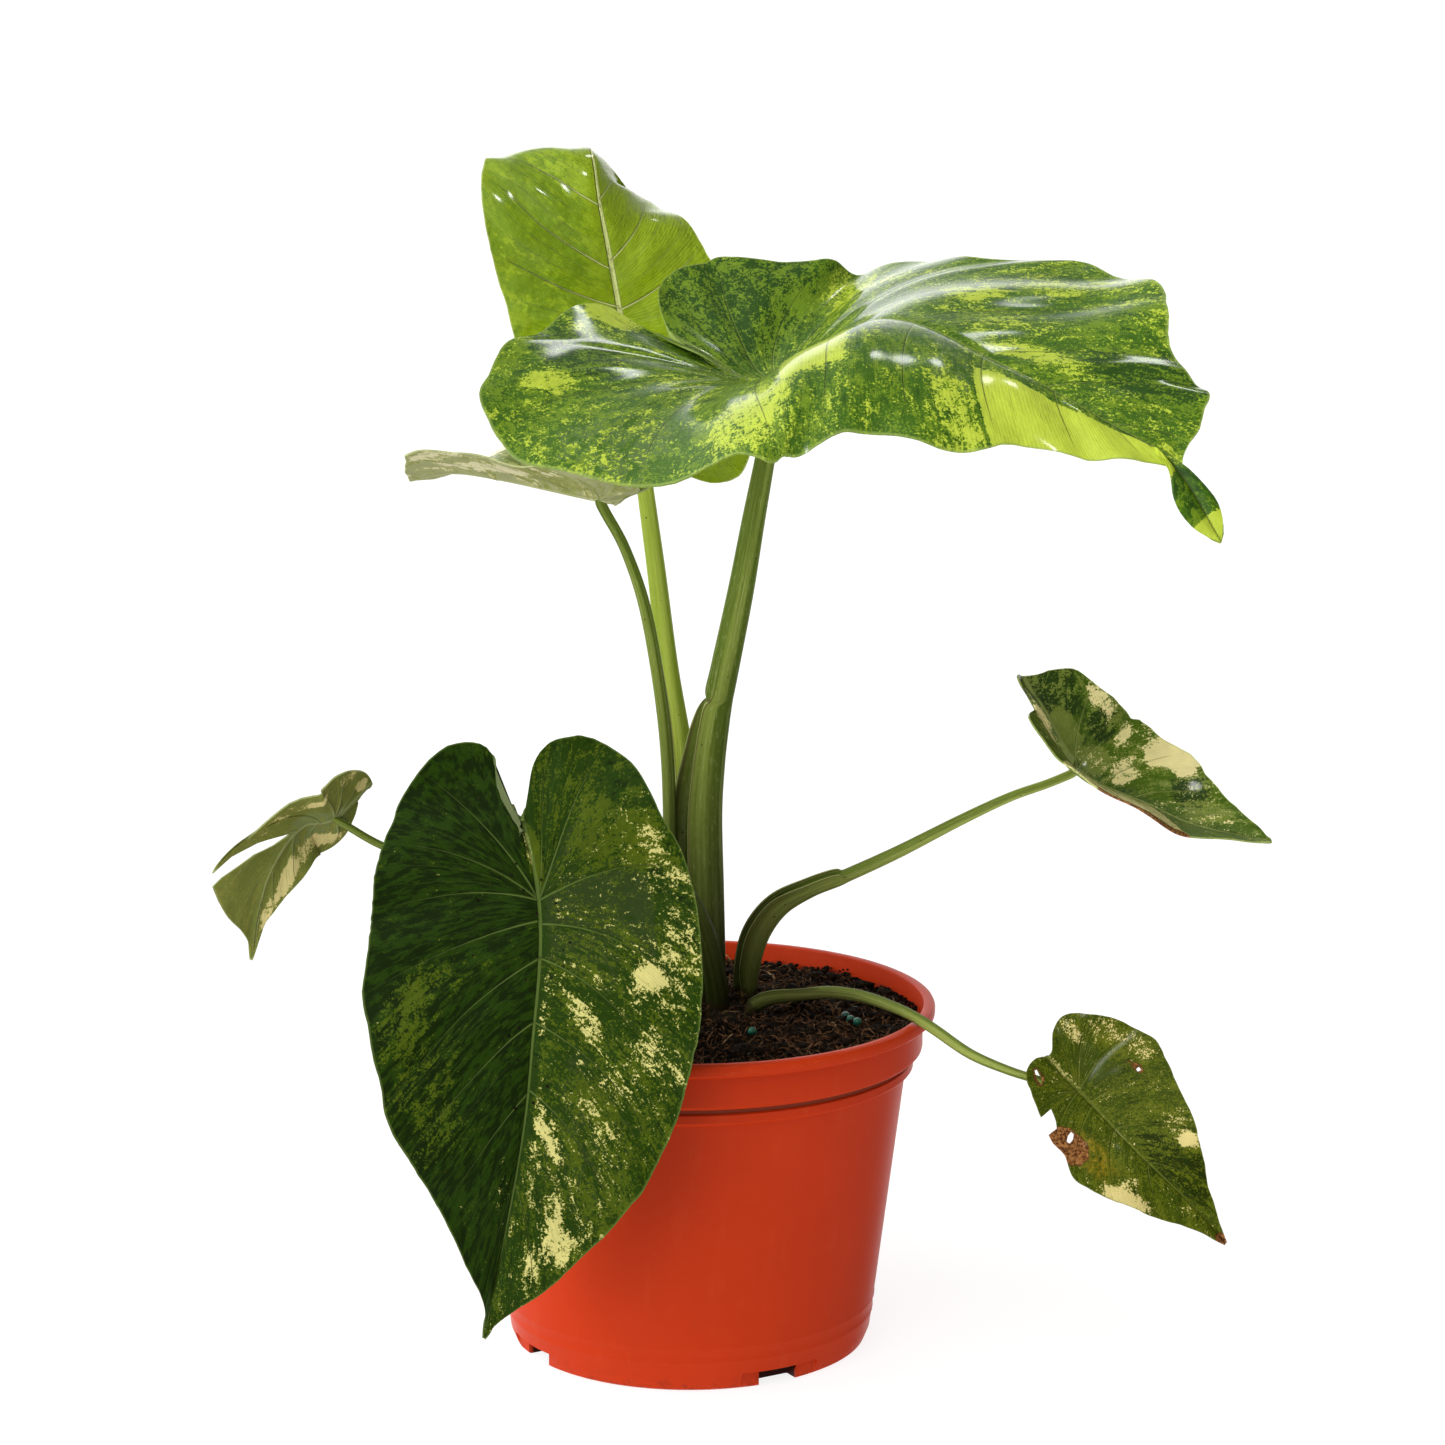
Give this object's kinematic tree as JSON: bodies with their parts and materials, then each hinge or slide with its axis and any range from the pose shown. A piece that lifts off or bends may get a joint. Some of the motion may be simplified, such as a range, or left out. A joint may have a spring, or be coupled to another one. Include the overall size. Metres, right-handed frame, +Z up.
{
  "type": "potted variegated aroid",
  "caption": "Variegated heart-leaved house plant in a plain round tapered nursery pot, with long sheathed leaf stalks and green, lime and cream marbled blades.",
  "frame": {"origin": "centre of the pot's flat underside", "axes": "+Z up, towards the leaves; -Y towards the front, where the big hanging leaf is; +X towards the small folded leaf"},
  "size_m": [0.3215, 0.2214, 0.3725],
  "materials": {
    "pot": "red-orange moulded plastic, slightly satin",
    "potting_mix": "moist dark coir and peat",
    "crown": "olive-brown plant stem, matte",
    "prill": "blue-green coated fertiliser bead",
    "stalk_green": "smooth olive-green leaf stalk, satin",
    "blade_front": "glossy leaf, deep green with cream speckle on one half",
    "blade_top": "glossy leaf, green and lime marbling",
    "blade_upright": "glossy leaf, bright yellow-green",
    "blade_high_left": "leaf with a pale khaki underside and cream streaks",
    "blade_small_left": "leaf with a grey-green underside and cream speckle",
    "blade_small_right": "leaf with bold cream and green marbling",
    "blade_low_right": "green leaf with cream blocks and a dry brown patch"
  },
  "bodies": {
    "root": {"pot": "pot", "soil": "potting_mix", "crown": "crown", "prill_1": "prill", "prill_2": "prill", "prill_3": "prill", "prill_4": "prill", "blade_front": "blade_front", "blade_top": "blade_top", "blade_upright": "blade_upright", "blade_high_left": "blade_high_left", "blade_small_left": "blade_small_left", "blade_small_right": "blade_small_right", "blade_low_right": "blade_low_right", "stalk_front": "stalk_green", "stalk_top": "stalk_green", "stalk_upright": "stalk_green", "stalk_high_left": "stalk_green", "stalk_small_left": "stalk_green", "stalk_small_right": "stalk_green", "stalk_low_right": "stalk_green"}
  },
  "joints": []
}
